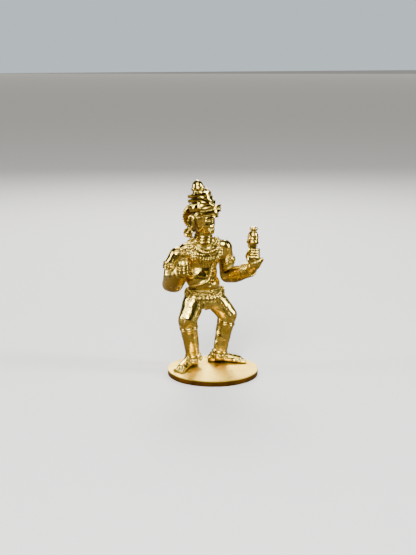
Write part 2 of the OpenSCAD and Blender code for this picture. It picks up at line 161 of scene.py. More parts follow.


# ---------------------------------------------------------------- brass
# One alloy, hand polished: bright yellow on the swellings, browner where the buffing wheel never
# reached, with small dents from the wax, fine buffing lines and a few casting pits. Faces that point
# down are painted warm brown, painted shade and a painted reflection.
def brass(name, bright, deep, tarnish, roughness, dents, pits, painted_underside="#9A7A2C"):
    """Cast brass. dents and pits are bump depths in mm, roughness is the polished value."""
    material = bpy.data.materials.new(name)
    material.use_nodes = True
    tree = material.node_tree
    tree.nodes.clear()
    where = add_node(tree, "ShaderNodeTexCoord").outputs["Object"]

    # slow colour drift of the alloy and its thin lacquer of tarnish
    drift = add_node(tree, "ShaderNodeTexNoise", Vector=where, Scale=210, Detail=4.0, Roughness=0.6)
    drift_ramp = add_node(
        tree, "ShaderNodeMapRange", Value=drift.outputs[0], From_Min=0.35, From_Max=0.68)
    body = add_node(
        tree, "ShaderNodeMix", {"data_type": "RGBA"},
        i0=drift_ramp.outputs[0], i6=from_hex(bright), i7=from_hex(deep))

    # brown oxide lies in the creases that the buffing wheel misses
    crease = add_node(tree, "ShaderNodeAmbientOcclusion", {"samples": 8}, Distance=1.5 * MM)
    crease_ramp = add_node(
        tree, "ShaderNodeMapRange", Value=crease.outputs["AO"],
        From_Min=0.36, From_Max=0.92, To_Min=1.0, To_Max=0.0)
    speck = add_node(tree, "ShaderNodeTexNoise", Vector=where, Scale=900, Detail=3.0)
    speck_ramp = add_node(
        tree, "ShaderNodeMapRange", Value=speck.outputs[0],
        From_Min=0.3, From_Max=0.7, To_Min=0.55, To_Max=1.0)
    dirt = add_node(
        tree, "ShaderNodeMath", {"operation": "MULTIPLY"},
        i0=crease_ramp.outputs[0], i1=speck_ramp.outputs[0])

    # surfaces that face down are painted a warm brown: painted shade and a painted reflection of a brown
    # floor
    outward = add_node(tree, "ShaderNodeNewGeometry").outputs["Normal"]
    facing = add_node(tree, "ShaderNodeSeparateXYZ", i0=outward)
    painted_underside_ramp = add_node(
        tree, "ShaderNodeMapRange", Value=facing.outputs["Z"],
        From_Min=0.15, From_Max=-0.85, To_Min=0.0, To_Max=0.75)
    body = add_node(
        tree, "ShaderNodeMix", {"data_type": "RGBA"},
        i0=painted_underside_ramp.outputs[0], i6=body.outputs[2], i7=from_hex(painted_underside))
    colour = add_node(
        tree, "ShaderNodeMix", {"data_type": "RGBA"},
        i0=dirt.outputs[0], i6=body.outputs[2], i7=from_hex(tarnish))

    # polish varies from hand to hand; creases stay dull
    smear = add_node(tree, "ShaderNodeTexNoise", Vector=where, Scale=480, Detail=5.0, Roughness=0.65)
    shine = add_node(
        tree, "ShaderNodeMapRange", Value=smear.outputs[0],
        From_Min=0.3, From_Max=0.75, To_Min=roughness * 0.7, To_Max=roughness * 1.7)
    dull = add_node(
        tree, "ShaderNodeMix", {"data_type": "FLOAT"}, i0=dirt.outputs[0], i2=shine.outputs[0], i3=0.55)

    # wax dents, buffing lines and casting pits
    dent = add_node(tree, "ShaderNodeTexNoise", Vector=where, Scale=420, Detail=3.5, Roughness=0.6)
    dent_bump = add_node(
        tree, "ShaderNodeBump", Height=dent.outputs[0], Strength=1.0, Distance=dents * MM)
    stretch = add_node(tree, "ShaderNodeMapping", Vector=where)
    stretch.inputs["Scale"].default_value = (1, 1, 0.12)
    buff = add_node(tree, "ShaderNodeTexNoise", Vector=stretch.outputs[0], Scale=5200, Detail=2.0)
    buff_bump = add_node(
        tree, "ShaderNodeBump", Height=buff.outputs[0], Strength=0.35, Distance=0.006 * MM,
        Normal=dent_bump.outputs[0])
    pit = add_node(tree, "ShaderNodeTexVoronoi", {"feature": "F1"}, Vector=where, Scale=1300)
    pit_ramp = add_node(
        tree, "ShaderNodeMapRange", Value=pit.outputs["Distance"], From_Min=0.05, From_Max=0.22)
    pit_bump = add_node(
        tree, "ShaderNodeBump", Height=pit_ramp.outputs[0], Strength=0.5, Distance=pits * MM,
        Normal=buff_bump.outputs[0])

    skin = add_node(
        tree, "ShaderNodeBsdfPrincipled", Base_Color=colour.outputs[2], Metallic=1.0,
        Roughness=dull.outputs[0], Normal=pit_bump.outputs[0])
    add_node(tree, "ShaderNodeOutputMaterial", Surface=skin.outputs[0])
    return material


polished = brass("polished_cast_brass", "#E9CB60", "#AE9438", "#1C1605", 0.18, 0.05, 0.014)


# ---------------------------------------------------------------- base disc
# A plain round disc, cast flat and filed: a hammered-looking top painted brighter than the figure's
# brass as painted light, a hand-filed bevel and a rougher rim that isn't quite round, painted dark
# brown as painted shade.
def start_edit():
    bpy.ops.object.mode_set(mode="EDIT")
    bpy.ops.mesh.select_all(action="SELECT")


def end_edit():
    bpy.ops.object.mode_set(mode="OBJECT")


def alone(piece):
    """Selects one object and makes it active."""
    bpy.ops.object.select_all(action="DESELECT")
    piece.select_set(True)
    bpy.context.view_layer.objects.active = piece


def apply_all(piece):
    alone(piece)
    for modifier in list(piece.modifiers):
        bpy.ops.object.modifier_apply(modifier=modifier.name)


def settle(piece, node, material, angle=60):
    """Names the piece, bakes its place into its mesh, shades it and ties it to the frame."""
    alone(piece)
    bpy.ops.object.transform_apply(location=True, rotation=True, scale=True)
    start_edit()
    bpy.ops.mesh.normals_make_consistent(inside=False)
    end_edit()
    bpy.ops.object.shade_smooth_by_angle(angle=math.radians(angle))
    piece.name = f"{node}_piece"
    piece.data.name = piece.name
    piece.data.materials.clear()
    piece.data.materials.append(material)
    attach(piece, "root")
    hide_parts(node)
    return piece


def corners(node):
    """Lowest and highest corner of a CAD node, in mm."""
    low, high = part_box(node)
    return np.array(low) / MM, np.array(high) / MM


def middle(node):
    low, high = corners(node)
    return (low + high) / 2


def coords_of(piece):
    flat = np.empty(len(piece.data.vertices) * 3)
    piece.data.vertices.foreach_get("co", flat)
    return flat.reshape(-1, 3) / MM


def put_coords(piece, points):
    piece.data.vertices.foreach_set("co", (points * MM).ravel())
    piece.data.update()


def normals_of(piece):
    flat = np.empty(len(piece.data.vertices) * 3)
    piece.data.vertices.foreach_get("normal", flat)
    return flat.reshape(-1, 3)


disc_low, disc_high = corners("base_disc")
disc_r = (disc_high[0] - disc_low[0]) / 2
disc_t = disc_high[2]

# lit and shaded copies of one brass: the top is painted brighter as painted light, the rim and lower bevel
# dark brown as painted shade
disc_top_painted_light = brass("disc_top_brass_painted_light", "#FFDD58", "#EDC03C", "#463208", 0.33, 0.04, 0.015)
disc_rim_painted_shade = brass("disc_rim_brass_painted_shade", "#865612", "#4E3207", "#1A0F02", 0.34, 0.09, 0.05)

alone(floor)
bpy.ops.mesh.primitive_cylinder_add(
    vertices=180, radius=(disc_r - 0.12) * MM, depth=disc_t * MM, location=(0, 0, disc_t / 2 * MM))
disc = bpy.context.object
start_edit()
bpy.ops.mesh.select_all(action="DESELECT")
mesh = bmesh.from_edit_mesh(disc.data)
for face in mesh.faces:
    face.select = len(face.verts) > 4
bmesh.update_edit_mesh(disc.data)
for inset in (0.5, 0.9, 1.5, 2.2, 3, 3, 2.4):
    bpy.ops.mesh.inset(thickness=inset * MM, depth=0)
mesh = bmesh.from_edit_mesh(disc.data)
for face in mesh.faces:
    face.select = abs(face.normal.z) < 0.5
bmesh.update_edit_mesh(disc.data)
bpy.ops.mesh.select_all(action="DESELECT")
mesh = bmesh.from_edit_mesh(disc.data)
for edge in mesh.edges:
    flat_side = [abs(f.normal.z) < 0.5 for f in edge.link_faces]
    edge.select = len(flat_side) == 2 and flat_side[0] != flat_side[1]
bmesh.update_edit_mesh(disc.data)
bpy.ops.mesh.bevel(offset=0.28 * MM, segments=4, profile=0.6)
bpy.ops.mesh.select_all(action="DESELECT")
mesh = bmesh.from_edit_mesh(disc.data)
for edge in mesh.edges:
    tall = abs(edge.verts[0].co.z - edge.verts[1].co.z) > 0.8 * MM
    edge.select = tall
bmesh.update_edit_mesh(disc.data)
bpy.ops.mesh.subdivide(number_cuts=5)
end_edit()

# the rim wanders a little, has shallow file nicks along its top edge, and the top is not quite flat
points = coords_of(disc)
angle = np.arctan2(points[:, 1], points[:, 0])
radius = np.hypot(points[:, 0], points[:, 1])
wander = 0.05 * np.sin(3 * angle + 0.6) + 0.035 * np.sin(7 * angle + 2) + 0.02 * np.sin(19 * angle)
near_rim = np.clip((radius - disc_r + 1.6) / 1.4, 0, 1)
nicks = 0.1 * np.clip(np.sin(11 * angle + 1.3) * np.sin(29 * angle) * np.sin(5 * angle + 0.4), 0, 1)
top_edge = np.clip((points[:, 2] - disc_t + 0.7) / 0.6, 0, 1)
grow = 1 + near_rim * (wander - nicks * top_edge * 2.2) / np.maximum(radius, 1)
points[:, 0] *= grow
points[:, 1] *= grow
on_top = points[:, 2] > disc_t - 0.02
wave = 0.05 * np.sin(points[:, 0] * 0.5 + 1) * np.cos(points[:, 1] * 0.43) \
    + 0.03 * np.sin(points[:, 0] * 1.1 - points[:, 1] * 0.9)
points[:, 2] += on_top * wave * np.clip((disc_r - radius) / 3, 0, 1)
points[:, 2] -= on_top * near_rim * np.abs(nicks) * 2.4
put_coords(disc, points)
settle(disc, "base_disc", disc_top_painted_light, 40)
disc.data.materials.append(disc_rim_painted_shade)
# faces below the top edge take the rim's painted shade
for face in disc.data.polygons:
    low_enough = face.center.z < (disc_t - 0.22) * MM
    face.material_index = 1 if low_enough else 0


# ---------------------------------------------------------------- body
# The trunk and limbs are rolled rods and pads of wax pressed together and smoothed with a warm
# tool, so their joins flow into each other. The skin is made once and cut where the pieces meet.
def ball(place, radius, stretch=(1, 1, 1)):
    bpy.ops.mesh.primitive_uv_sphere_add(
        segments=28, ring_count=18, radius=radius * MM, location=Vector(place) * MM)
    lump = bpy.context.object
    lump.scale = stretch
    return lump


def bone(start, end, r_start, r_end):
    """A tapered rod with round ends."""
    start, end = Vector(start), Vector(end)
    run = end - start
    bpy.ops.mesh.primitive_cone_add(
        vertices=28, radius1=r_start * MM, radius2=r_end * MM, depth=run.length * MM,
        location=(start + end) / 2 * MM, rotation=run.to_track_quat("Z", "Y").to_euler())
    return [bpy.context.object, ball(start, r_start), ball(end, r_end)]


def chain(stops):
    lumps = []
    for (start, r_start), (end, r_end) in zip(stops, stops[1:]):
        lumps += bone(start, end, r_start, r_end)
    return lumps


def fuse(lumps, voxel, rounds):
    """Melts lumps into one skin: join, voxel remesh, smooth."""
    bpy.ops.object.select_all(action="DESELECT")
    for lump in lumps:
        lump.select_set(True)
    bpy.context.view_layer.objects.active = lumps[0]
    bpy.ops.object.join()
    skin = bpy.context.object
    bpy.ops.object.transform_apply(location=True, rotation=True, scale=True)
    remesh = skin.modifiers.new("melt", "REMESH")
    remesh.mode = "VOXEL"
    remesh.voxel_size = voxel * MM
    smooth = skin.modifiers.new("warm_tool", "SMOOTH")
    smooth.factor = 0.5
    smooth.iterations = rounds
    apply_all(skin)
    return skin


def mix(p, q, t):
    return np.array(p) * (1 - t) + np.array(q) * t


def unit(v):
    return np.array(v) / np.linalg.norm(v)


SIDES = ((-1, "right"), (1, "left"))
belt = middle("waist_belt")
back_line = belt[1]
joints = {}
for side, name in SIDES:
    ankle = middle(f"{name}_anklet")
    hem = middle(f"{name}_hem")
    upper_low, upper_high = corners(f"{name}_upper_arm")
    upper = (upper_low + upper_high) / 2
    wristband = middle(f"{name}_bracelets")
    shoulder = np.array([upper[0] - side * 0.75, upper[1] - 0.1, upper_high[2] - 2.75])
    elbow = np.array([upper[0] + side * 0.75, upper[1] + 0.35, upper_low[2] + 2.35])
    joints[name] = {
        "ankle": ankle,
        "hem": hem,
        "knee": hem + (hem - ankle) * 0.24 + [0, 0, 0.2],
        "hip": np.array([side * 2.9, back_line, belt[2] - 2]),
        "shoulder": shoulder,
        "elbow": elbow,
        "wrist": elbow + (wristband - elbow) * 1.13,
        "palm": middle(f"{name}_hand"),
    }

trunk_x = -0.4
lumps = [
    ball((0, back_line, belt[2] - 1.6), 1, (5.3, 4.2, 3.7)),
    ball((trunk_x / 2, back_line - 0.7, belt[2] + 2.4), 1, (5.2, 4.5, 3.4)),
    ball((trunk_x, back_line + 0.1, belt[2] + 5.8), 1, (5, 3.7, 5)),
    ball((trunk_x - 1.2, back_line - 0.3, belt[2] + 4.6), 1, (4.9, 3.8, 4.6)),
    ball((trunk_x, back_line + 0.4, belt[2] + 10.6), 1, (6.3, 4.1, 4.8)),
    ball((trunk_x, back_line + 0.9, belt[2] + 13.4), 1, (7.7, 3.2, 2.5)),
]
for side, name in SIDES:
    j = joints[name]
    lumps += [
        ball((side * 2.5, back_line + 1.9, belt[2] - 2.6), 2.9),
        ball((trunk_x + side * 2.9, back_line - 1.9, belt[2] + 11.9), 1, (3.1, 1.9, 2.4)),
        ball((trunk_x + side * 3.2, back_line + 3, belt[2] + 12.4), 1, (2.8, 1.8, 3)),
    ]
    top = j["shoulder"] + ([0.9, 0, -1] if side < 0 else [0, 0, 0])
    lumps += bone((trunk_x + side * 1.2, back_line + 0.8, belt[2] + 16.2), top, 1.8, 2.3)
    lumps += chain([
        (top, 2.65), (mix(j["shoulder"], j["elbow"], 0.35), 2.55),
        (mix(j["shoulder"], j["elbow"], 0.75), 2.5), (j["elbow"], 2.55),
        (mix(j["elbow"], j["wrist"], 0.35) - [0, 0, 0.7 - 0.3 * side], 2.95 - 0.2 * side),
        (mix(j["elbow"], j["wrist"], 0.75) - [0, 0, 0.6 - 0.3 * side], 2.5 - 0.2 * side),
        (j["wrist"], 1.95),
    ])
    lumps += chain([
        (j["hip"] + [0.5 * min(side, 0), 0, 0], 3.5), (mix(j["hip"], j["knee"], 0.5), 3.25),
        (j["knee"], 2.95),
        (mix(j["knee"], j["ankle"], 0.35) + [0, 0.15, 0], 2.75),
        (mix(j["knee"], j["ankle"], 0.7), 2.45), (j["ankle"] + [0, 0, -1], 2.2),
    ])
neck_low, neck_high = corners("neck")
neck_foot = np.array([(neck_low[0] + neck_high[0]) / 2, back_line + 0.3, neck_low[2]])
neck_top = neck_foot + [0, -0.9, 5.2]
lumps += bone(neck_foot, neck_top, 2.7, 2.45)

core = fuse(lumps, 0.15, 22)
core.name = "wax_core"


def thumb_marks(piece, amount, pitch=1.0):
    """Low swellings and hollows, amount mm deep and two to five times the pitch apart."""
    points = coords_of(piece) / pitch
    rise = np.zeros(len(points))
    for along, start in (
        ((1.9, 0.7, 0.5), 0.3), ((-0.8, 1.7, 0.9), 1.9), ((0.5, -0.9, 1.5), 4.1),
        ((2.6, -1.4, 1.2), 2.2), ((-1.3, -2.3, 2), 5.2), ((1.1, 2.1, -2.7), 0.9),
    ):
        rise += np.sin(points @ np.array(along) + start) / (1 + 0.25 * np.linalg.norm(along))
    put_coords(piece, points * pitch + normals_of(piece) * rise[:, None] * amount / 2.2)


thumb_marks(core, 0.07)
thumb_marks(core, 0.016, 0.3)


def half(source, cuts):
    """A copy of the skin with everything in front of each (point, direction) plane cut away."""
    alone(source)
    bpy.ops.object.duplicate()
    piece = bpy.context.object
    for point, direction in cuts:
        start_edit()
        bpy.ops.mesh.bisect(
            plane_co=Vector(point) * MM, plane_no=Vector(direction), use_fill=True,
            clear_outer=True, threshold=1e-7)
        end_edit()
    return piece


UP, DOWN = (0, 0, 1), (0, 0, -1)
neck_joint = neck_foot + [0, 0, 0.6]
side_cut = 6.9
core_pieces = {}
leg_cuts = []
for side, name in SIDES:
    j = joints[name]
    run = unit(j["knee"] - j["hip"])
    leg_cuts.append((mix(j["hip"], j["knee"], 0.22), run))
core_pieces["hips"] = half(core, [(belt, UP)] + leg_cuts)
core_pieces["torso"] = half(core, [
    (belt, DOWN), ((side_cut, 0, 0), (1, 0, 0)), ((-side_cut, 0, 0), (-1, 0, 0)),
    (neck_joint, UP)])
core_pieces["neck"] = half(core, [
    (neck_joint, DOWN), (neck_joint + [4, 0, 0], (1, 0, 0)), (neck_joint - [4, 0, 0], (-1, 0, 0))])
for (side, name), (groin, run) in zip(SIDES, leg_cuts):
    j = joints[name]
    inward = (-side, 0, 0)
    shin_run = unit(j["ankle"] - j["knee"])
    crook = unit(unit(j["wrist"] - j["elbow"]) - unit(j["shoulder"] - j["elbow"]))
    below_belt = (belt, UP)
    core_pieces[f"{name}_thigh"] = half(core, [
        ((0, 0, 0), inward), below_belt, (groin, -run), (j["hem"], shin_run)])
    core_pieces[f"{name}_shin"] = half(core, [
        ((0, 0, 0), inward), (j["hem"], -shin_run), below_belt])
    arm_side = ((side * side_cut, 0, 0), inward)
    above_hips = ((0, 0, belt[2] - 1.4), DOWN)
    core_pieces[f"{name}_upper_arm"] = half(core, [arm_side, above_hips, (j["elbow"], crook)])
    core_pieces[f"{name}_forearm"] = half(core, [arm_side, above_hips, (j["elbow"], -crook)])

# the skin as a search tree, for laying ornament on it
core_tree = BVHTree.FromObject(core, bpy.context.evaluated_depsgraph_get())


def on_skin(guess, lift=0.0):
    """The nearest point of the skin to a guess in mm, raised along the skin's normal."""
    place, normal, _, _ = core_tree.find_nearest(Vector(guess) * MM)
    return np.array(place) / MM + np.array(normal) * lift, np.array(normal)


def from_inside(centre, guess, lift=0.0, furthest=60.0):
    """Where a line from a point inside the wax through the guess leaves the skin, or furthest mm."""
    run = unit(np.array(guess) - np.array(centre))
    place, normal, _, reach = core_tree.ray_cast(Vector(centre) * MM, Vector(run))
    if reach / MM > furthest:
        return np.array(centre) + run * furthest
    return np.array(place) / MM + np.array(normal) * lift


def engrave(piece, depth):
    """Pushes each point in along its normal by depth(points) mm; negative depth raises it."""
    points = coords_of(piece)
    put_coords(piece, points - normals_of(piece) * depth(points)[:, None])


def line_depth(distance, width, depth):
    return depth * np.exp(-(distance / width) ** 2)


# tooled lines on the wrapped cloth of each thigh: pairs of long lines with punched dots between
for side, name in SIDES:
    j = joints[name]
    run = unit(j["knee"] - j["hip"])
    length = np.linalg.norm(j["knee"] - j["hip"])
    outward = unit(np.array([side, 0, 0]) - run * side * run[0])
    forward = np.cross(run, outward) * side

    def cloth(points, start=j["hip"], run=run, length=length, outward=outward, forward=forward):
        offset = points - start
        t = offset @ run / length
        turn = np.degrees(np.arctan2(offset @ forward, offset @ outward))
        reach = np.hypot(offset @ forward, offset @ outward)
        depth = np.zeros(len(points))
        for line in (-96, -84, -30, -18, 36, 48, 100, 112):
            arc = np.radians((turn - line + 180) % 360 - 180) * reach
            depth += line_depth(arc, 0.13, 0.14)
        for column in (-90, -24, 42, 106):
            arc = np.radians((turn - column + 180) % 360 - 180) * reach
            along = (t * length) % 0.75 - 0.375
            depth += line_depth(np.hypot(arc, along), 0.15, 0.12)
        fade = np.clip((t - 0.12) / 0.1, 0, 1)
        return depth * fade - 0.14 * np.clip((t - 0.05) / 0.3, 0, 1)

    engrave(core_pieces[f"{name}_thigh"], cloth)

# navel, the fold under the belly and the line between the shoulder blades
navel, _ = on_skin((trunk_x / 2, back_line - 8, belt[2] + 2.6))


def trunk_marks(points):
    front = points[:, 1] < back_line
    depth = line_depth(np.linalg.norm(points - navel, axis=1), 0.34, 0.35)
    fold = belt[2] + 4.9 + 0.035 * (points[:, 0] - trunk_x) ** 2
    depth += front * line_depth(points[:, 2] - fold, 0.22, 0.1) * (np.abs(points[:, 0]) < 4)
    spine = (~front) & (points[:, 2] > belt[2] + 2)
    return depth + spine * line_depth(points[:, 0] - trunk_x, 0.55, 0.3)


engrave(core_pieces["torso"], trunk_marks)

for name, piece in core_pieces.items():
    settle(piece, name, polished)
bpy.data.objects.remove(core)


# ---------------------------------------------------------------- feet
# Flat-soled feet with five toes, pressed on the disc with a smear of wax round each sole.
for side, name in SIDES:
    low, high = corners(f"{name}_foot")
    ankle = joints[name]["ankle"]
    heel = np.array([side * 3.4, high[1] - 1.6, disc_t + 1.1])
    toe_x = high[0] if side > 0 else low[0]
    ball_of_foot = np.array([toe_x - side * 2.5, low[1] + 2.1, disc_t + 0.9])
    forward = unit(ball_of_foot - heel)
    across = np.array([-forward[1], forward[0], 0])
    instep = mix(heel, ball_of_foot, 0.42) + [0, 0, 0.55]
    lumps = chain([(heel, 1.65), (instep, 1.75), (ball_of_foot, 1.35)])
    lumps += bone(ankle + [0, 0, 0.4], instep, 2.15, 1.8)
    lumps.append(ball(mix(heel, ball_of_foot, 0.88) + [0, 0, -0.25], 1, (1.9, 1.7, 0.95)))
    for i in range(-2, 3):
        big = i * side == -2
        reach = 2.15 if big else 2.2 - 0.3 * abs(i * side + 1)
        root = ball_of_foot + across * i * 0.68 + [0, 0, -0.3]
        tip = ball_of_foot + across * i * 0.78 + forward * reach + [0, 0, -0.42]
        lumps += bone(root, tip, 0.55, 0.62 if big else 0.46)
    foot = fuse(lumps, 0.11, 7)
    start_edit()
    bpy.ops.mesh.bisect(
        plane_co=(0, 0, (disc_t - 0.06) * MM), plane_no=(0, 0, 1), use_fill=True, clear_inner=True,
        threshold=1e-7)
    end_edit()
    points = coords_of(foot)
    spread = np.clip(1 - (points[:, 2] - disc_t) / 0.55, 0, 1) ** 2
    middle_line = mix(heel, ball_of_foot, 0.5)
    points[:, :2] += (points[:, :2] - middle_line[:2]) * (spread * 0.045)[:, None]
    put_coords(foot, points)
    settle(foot, f"{name}_foot", polished)


# ---------------------------------------------------------------- lathe-turned rings
# Bangles, hems, bell and crown are built up as turned shapes, then beaded and chased.
chased = brass("chased_brass", "#EACC62", "#A48A34", "#151003", 0.14, 0.035, 0.012)


def lathe(profile, place, direction, steps=72, closed=False, stretch=(1, 1)):
    """Spins a profile of (radius, height) points in mm about its own axis, then stands it at place."""
    outline = [(r * MM, 0, z * MM) for r, z in profile]
    edges = [(i, i + 1) for i in range(len(outline) - 1)]
    if closed:
        edges.append((len(outline) - 1, 0))
    shape = bpy.data.meshes.new("turned")
    shape.from_pydata(outline, edges, [])
    turned = bpy.data.objects.new("turned", shape)
    bpy.context.collection.objects.link(turned)
    alone(turned)
    start_edit()
    bpy.ops.mesh.spin(steps=steps, angle=math.tau, center=(0, 0, 0), axis=(0, 0, 1))
    bpy.ops.mesh.select_all(action="SELECT")
    bpy.ops.mesh.remove_doubles(threshold=2e-6)
    bpy.ops.mesh.normals_make_consistent(inside=False)
    end_edit()
    turned.scale = (stretch[0], stretch[1], 1)
    turned.rotation_euler = Vector(direction).to_track_quat("Z", "Y").to_euler()
    turned.location = Vector(place) * MM
    return turned


def rounded(low, high, inner, outer, soft=0.2, points=5):
    """Closed profile of a band between two radii and two heights, its corners rounded."""
    soft = min(soft, (high - low) / 2, (outer - inner) / 2)
    profile = []
    for centre_r, centre_z, first in (
        (outer - soft, high - soft, 0), (inner + soft, high - soft, 90),
        (inner + soft, low + soft, 180), (outer - soft, low + soft, 270),
    ):
        for i in range(points):
            a = math.radians(first + 90 * i / (points - 1))
            profile.append((centre_r + soft * math.cos(a), centre_z + soft * math.sin(a)))
    return profile


def band(place, direction, inner, outer, low, high, soft=0.2, stretch=(1, 1)):
    return lathe(rounded(low, high, inner, outer, soft), place, direction, 72, True, stretch)


def torus(place, direction, radius, wire, stretch=(1, 1)):
    bpy.ops.mesh.primitive_torus_add(
        major_radius=radius * MM, minor_radius=wire * MM, major_segments=64, minor_segments=12,
        location=Vector(place) * MM, rotation=Vector(direction).to_track_quat("Z", "Y").to_euler())
    ring = bpy.context.object
    ring.scale = (stretch[0], stretch[1], 1)
    return ring


def bead(place, radius, stretch=(1, 1, 1), direction=(0, 0, 1)):
    bpy.ops.mesh.primitive_uv_sphere_add(
        segments=12, ring_count=8, radius=radius * MM, location=Vector(place) * MM,
        rotation=Vector(direction).to_track_quat("Z", "Y").to_euler())
    lump = bpy.context.object
    lump.scale = stretch
    return lump


def frame_of(direction):
    """Two directions square to a given one."""
    direction = unit(direction)
    aside = np.cross(direction, (0, 0, 1))
    aside = unit(aside) if np.linalg.norm(aside) > 1e-6 else np.array((1.0, 0, 0))
    return aside, np.cross(aside, direction)


def beads_round(place, direction, radius, size, count, stretch=(1, 1)):
    aside, above = frame_of(direction)
    lumps = []
    for i in range(count):
        a = math.tau * i / count
        spot = np.array(place) + aside * radius * stretch[0] * math.cos(a) \
            + above * radius * stretch[1] * math.sin(a)
        lumps.append(bead(spot, size))
    return lumps


def join(lumps):
    bpy.ops.object.select_all(action="DESELECT")
    for lump in lumps:
        lump.select_set(True)
    bpy.context.view_layer.objects.active = lumps[0]
    bpy.ops.object.join()
    return bpy.context.object


# anklets: a rolled ring under a beaded one, over a plain collar that hides the join of the foot
for side, name in SIDES:
    ankle = joints[name]["ankle"] + [0, 0, -0.35]
    run = unit(joints[name]["knee"] - joints[name]["ankle"] + [0, 0, 6])
    lumps = [
        band(ankle, run, 1.9, 2.72, -0.75, 0.1),
        torus(ankle + run * 0.75, run, 2.3, 0.36),
        torus(ankle - run * 0.95, run, 2.55, 0.3),
    ]
    lumps += beads_round(ankle - run * 0.3, run, 2.72, 0.38, 20)
    settle(join(lumps), f"{name}_anklet", chased)

# hems of the cloth at the knees: a flat rolled edge with a fine rib
for side, name in SIDES:
    hem = joints[name]["hem"]
    run = unit(joints[name]["knee"] - joints[name]["ankle"])
    lumps = [
        band(hem, run, 2.4, 3.02, -0.42, 0.42, 0.3),
        torus(hem - run * 0.38, run, 2.86, 0.17),
    ]
    settle(join(lumps), f"{name}_hem", chased)

# armlets: three rings with a round boss on the front; bangles: a stack of ribbed rings
for side, name in SIDES:
    j = joints[name]
    centre = middle(f"{name}_armlet")
    run = unit(j["elbow"] - j["shoulder"])
    lumps = [torus(centre + run * step, run, 2.42, 0.32) for step in (-0.85, 0, 0.85)]
    lumps += beads_round(centre - run * 0.42, run, 2.56, 0.25, 26)
    lumps += beads_round(centre + run * 0.42, run, 2.56, 0.25, 26)
    front = unit(np.array([side * 0.55, -1, 0]))
    boss = centre + front * 2.6
    lumps += [torus(boss, front, 0.85, 0.26), bead(boss, 0.62, (1, 1, 0.8), front)]
    lumps += beads_round(boss, front, 1.25, 0.2, 12)
    settle(join(lumps), f"{name}_armlet", chased)

    run = unit(j["wrist"] - j["elbow"])
    lumps = []
    for i, step in enumerate((-2.7, -1.75, -0.8, 0.1)):
        lumps.append(torus(j["wrist"] + run * step, run, 2.12 - 0.05 * i, 0.4))
        if i:
            lumps += beads_round(j["wrist"] + run * (step - 0.48), run, 2.28 - 0.05 * i, 0.24, 24)
    settle(join(lumps), f"{name}_bracelets", chased)


# ---------------------------------------------------------------- head
# An egg of wax with a calm, full, symmetrical face of general proportions: eyes at half height,
# the nose ends midway from eyes to chin, the mouth a third of the way below it.
# The head, its ears and the diadem are turned a little to the figure's left.
head_low, _ = corners("head")
face_x = neck_foot[0] - 0.3
chin_z = head_low[2] + 0.1
skull_z = chin_z + 4.9
head_y = back_line - 0.6
head_turn = math.radians(15)
turn_axis = np.array([face_x, back_line, 0])


def turned_left(points, angle):
    """Points turned to the figure's left about the upright line through the neck."""
    offset = points - turn_axis
    across = np.array([math.cos(angle), -math.sin(angle), 0])
    along = np.array([math.sin(angle), math.cos(angle), 0])
    flat = np.stack([offset @ across, offset @ along, offset[..., 2]], axis=-1)
    return flat + turn_axis


def straight_middle(node):
    """Middle of a node of the head, as it would lie if the head looked straight ahead."""
    return turned_left(middle(node), -head_turn)


def turn_head(piece):
    put_coords(piece, turned_left(coords_of(piece), head_turn))


eye_z = chin_z + 4.5
nose_z = chin_z + 2.5
mouth_z = chin_z + 1.72
face_y = head_y - 3.75


def face(x, y, z):
    """A point of the face: x from its middle line, y forward of its front, z as built."""
    return (face_x + x, face_y - y, z)


head = fuse([
    ball((face_x, head_y, skull_z), 1, (3.65, 3.95, 4.3)),
    ball((face_x, head_y - 0.6, chin_z + 3.1), 1, (3.2, 3.2, 3)),
    ball(face(0, -2.2, chin_z + 1.75), 1, (2.1, 2, 1.75)),
], 0.08, 30)


def bump(x, z, at_x, at_z, wide, tall):
    return np.exp(-((x - at_x) / wide) ** 2 - ((z - at_z) / tall) ** 2)


def model_face(piece):
    """Presses the features out of the egg: how far each point of the front comes forward."""
    points = coords_of(piece)
    normals = normals_of(piece)
    x = np.abs(points[:, 0] - face_x)
    z = points[:, 2]
    bridge = np.clip((eye_z + 0.75 - z) / (eye_z + 0.75 - nose_z), 0, 1)
    under_nose = np.clip((z - nose_z + 0.2) / 0.35, 0, 1)
    rise = (0.15 + 0.85 * bridge) * under_nose * (z < eye_z + 1.2)
    rise *= np.exp(-(x / (0.3 + 0.25 * bridge)) ** 2)
    rise += 0.34 * bump(x, z, 0.52, nose_z + 0.12, 0.26, 0.26)
    rise -= 0.42 * bump(x, z, 1.35, eye_z + 0.05, 0.95, 0.55)
    rise += 0.42 * bump(x, z, 1.38, eye_z, 0.62, 0.36)
    rise += 0.2 * bump(x, z + 0.14 * (x - 1.3) ** 2, 1.35, eye_z + 0.95, 1.0, 0.2)
    rise += 0.2 * bump(x, z, 1.75, nose_z + 0.55, 0.85, 0.85)
    lip_fade = np.clip((1.15 - x) / 0.35, 0, 1)
    rise += 0.34 * lip_fade * np.exp(-((z - mouth_z - 0.24 + 0.16 * x) / 0.2) ** 2)
    rise += 0.38 * lip_fade * np.exp(-((z - mouth_z + 0.27 - 0.12 * x) / 0.22) ** 2)
    rise -= 0.16 * bump(x, z, 1.2, mouth_z, 0.22, 0.22)
    rise -= 0.2 * bump(x, z, 0, mouth_z - 0.66, 0.75, 0.16)
    rise += 0.3 * bump(x, z, 0, chin_z + 0.6, 0.75, 0.45)
    rise -= 0.12 * bump(x, z, 0, mouth_z + 0.62, 0.13, 0.22)
    front = np.clip(-normals[:, 1] * 1.4, 0, 1)
    points[:, 1] -= rise * front
    put_coords(piece, points)


model_face(head)


